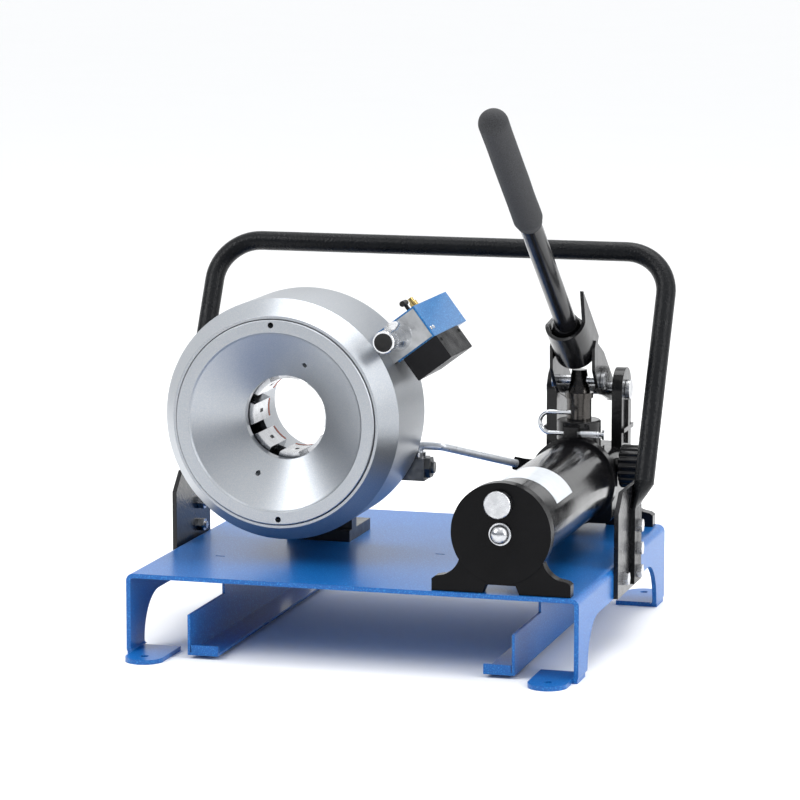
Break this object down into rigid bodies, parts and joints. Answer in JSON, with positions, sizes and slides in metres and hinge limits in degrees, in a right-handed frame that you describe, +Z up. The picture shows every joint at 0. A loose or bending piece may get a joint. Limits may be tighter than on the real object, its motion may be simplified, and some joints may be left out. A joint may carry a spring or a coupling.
{
  "type": "hose crimping machine",
  "caption": "Hand-pumped hose crimper: ring of radial dies in a round hydraulic head beside a lever pump, on a folded sheet base with die rails and a carrying handle.",
  "frame": {"origin": "on the floor at the centre of the four foot bolt holes", "axes": "+X right along the front edge, +Y back along the head's and pump's axes, +Z up"},
  "size_m": [0.554, 0.5259, 0.6006],
  "materials": {
    "blue_paint": "glossy speckled",
    "head_paint": "satin",
    "steel": "brushed",
    "bright_steel": "bright plated",
    "black_paint": "gloss",
    "black_sheet": "semi gloss",
    "handle_coat": "textured coating",
    "foam": "matte foam",
    "black_plastic": "matte",
    "aluminium": "satin",
    "brass": "bright",
    "die_steel": "ground",
    "seal": "matte"
  },
  "bodies": {
    "frame": {"base_plate": "blue_paint", "rail_left": "blue_paint", "rail_right": "blue_paint", "handle_tube": "handle_coat", "bracket_left": "black_sheet", "bracket_right": "black_sheet", "handle_bolts_left": "bright_steel", "handle_bolts_right": "bright_steel", "head_housing": "head_paint", "front_cover": "head_paint", "rear_cover": "steel", "pedestal": "black_sheet", "pedestal_screws": "bright_steel", "control_block": "aluminium", "control_cover": "blue_paint", "switch_box": "black_plastic", "knob_sleeve": "bright_steel", "brass_elbow": "brass", "bleed_nipple": "black_sheet", "line_block": "black_sheet", "line_plug": "steel", "hydraulic_tube": "bright_steel", "tube_nut": "bright_steel", "pump_port": "black_sheet", "front_cap": "black_paint", "pump_tank": "black_paint", "tie_rod": "bright_steel", "pump_head": "black_paint", "pump_collar": "black_paint", "pivot_pin": "bright_steel", "latch_spring": "bright_steel", "rear_port": "black_sheet"},
    "press_piston": {"pressure_piston": "steel", "piston_seals": "seal"},
    "pump_lever": {"lever_yoke": "black_paint", "lever_tube": "black_paint", "lever_grip": "foam"},
    "pump_plunger": {"plunger": "steel", "plunger_pin": "bright_steel"},
    "knob": {"micrometer_knob": "bright_steel"},
    "vent": {"vent_cap": "bright_steel"},
    "release": {"release_knob": "black_paint"},
    "latch": {"latch_clip": "bright_steel"},
    "die_1": {"master_die_1": "steel", "die_insert_1": "die_steel"},
    "die_2": {"master_die_2": "steel", "die_insert_2": "die_steel"},
    "die_3": {"master_die_3": "steel", "die_insert_3": "die_steel"},
    "die_4": {"master_die_4": "steel", "die_insert_4": "die_steel"},
    "die_5": {"master_die_5": "steel", "die_insert_5": "die_steel"},
    "die_6": {"master_die_6": "steel", "die_insert_6": "die_steel"},
    "die_7": {"master_die_7": "steel", "die_insert_7": "die_steel"},
    "die_8": {"master_die_8": "steel", "die_insert_8": "die_steel"}
  },
  "joints": [
    {"name": "piston_slide", "type": "slide", "parent": "frame", "child": "press_piston", "axis": [0, -1, 0], "range_m": [0, 0.024]},
    {"name": "die_1_slide", "type": "slide", "parent": "frame", "child": "die_1", "axis": [-1, 0, 0], "range_m": [0, 0.012]},
    {"name": "die_2_slide", "type": "slide", "parent": "frame", "child": "die_2", "axis": [-0.7071, 0, -0.7071], "range_m": [0, 0.012]},
    {"name": "die_3_slide", "type": "slide", "parent": "frame", "child": "die_3", "axis": [0, 0, -1], "range_m": [0, 0.012]},
    {"name": "die_4_slide", "type": "slide", "parent": "frame", "child": "die_4", "axis": [0.7071, 0, -0.7071], "range_m": [0, 0.012]},
    {"name": "die_5_slide", "type": "slide", "parent": "frame", "child": "die_5", "axis": [1, 0, 0], "range_m": [0, 0.012]},
    {"name": "die_6_slide", "type": "slide", "parent": "frame", "child": "die_6", "axis": [0.7071, 0, 0.7071], "range_m": [0, 0.012]},
    {"name": "die_7_slide", "type": "slide", "parent": "frame", "child": "die_7", "axis": [0, 0, 1], "range_m": [0, 0.012]},
    {"name": "die_8_slide", "type": "slide", "parent": "frame", "child": "die_8", "axis": [-0.7071, 0, 0.7071], "range_m": [0, 0.012]},
    {"name": "lever_hinge", "type": "hinge", "parent": "frame", "child": "pump_lever", "pos_m": [0.165, 0.193, 0.25], "axis": [1, 0, 0], "range_deg": [-15, 25]},
    {"name": "plunger_slide", "type": "slide", "parent": "frame", "child": "pump_plunger", "axis": [0, 0, -1], "range_m": [-0.0146, 0.0243]},
    {"name": "micrometer_turn", "type": "hinge", "parent": "frame", "child": "knob", "pos_m": [0.01499, -0.11, 0.33958], "axis": [0, 1, 0], "range_deg": [-720, 720]},
    {"name": "vent_turn", "type": "hinge", "parent": "frame", "child": "vent", "pos_m": [0.163, -0.22, 0.186], "axis": [0, -1, 0], "range_deg": [0, 180]},
    {"name": "release_turn", "type": "hinge", "parent": "frame", "child": "release", "pos_m": [0.22, 0.14, 0.17], "axis": [1, 0, 0], "range_deg": [0, 270]},
    {"name": "latch_turn", "type": "hinge", "parent": "frame", "child": "latch", "pos_m": [0.165, 0.112, 0.209], "axis": [1, 0, 0], "range_deg": [0, 85]}
  ],
  "couplings": [
    {"joint": "die_1_slide", "follows": "piston_slide", "ratio": 0.5},
    {"joint": "die_2_slide", "follows": "piston_slide", "ratio": 0.5},
    {"joint": "die_3_slide", "follows": "piston_slide", "ratio": 0.5},
    {"joint": "die_4_slide", "follows": "piston_slide", "ratio": 0.5},
    {"joint": "die_5_slide", "follows": "piston_slide", "ratio": 0.5},
    {"joint": "die_6_slide", "follows": "piston_slide", "ratio": 0.5},
    {"joint": "die_7_slide", "follows": "piston_slide", "ratio": 0.5},
    {"joint": "die_8_slide", "follows": "piston_slide", "ratio": 0.5},
    {"joint": "plunger_slide", "follows": "lever_hinge", "m_per_rad": 0.0551}
  ]
}
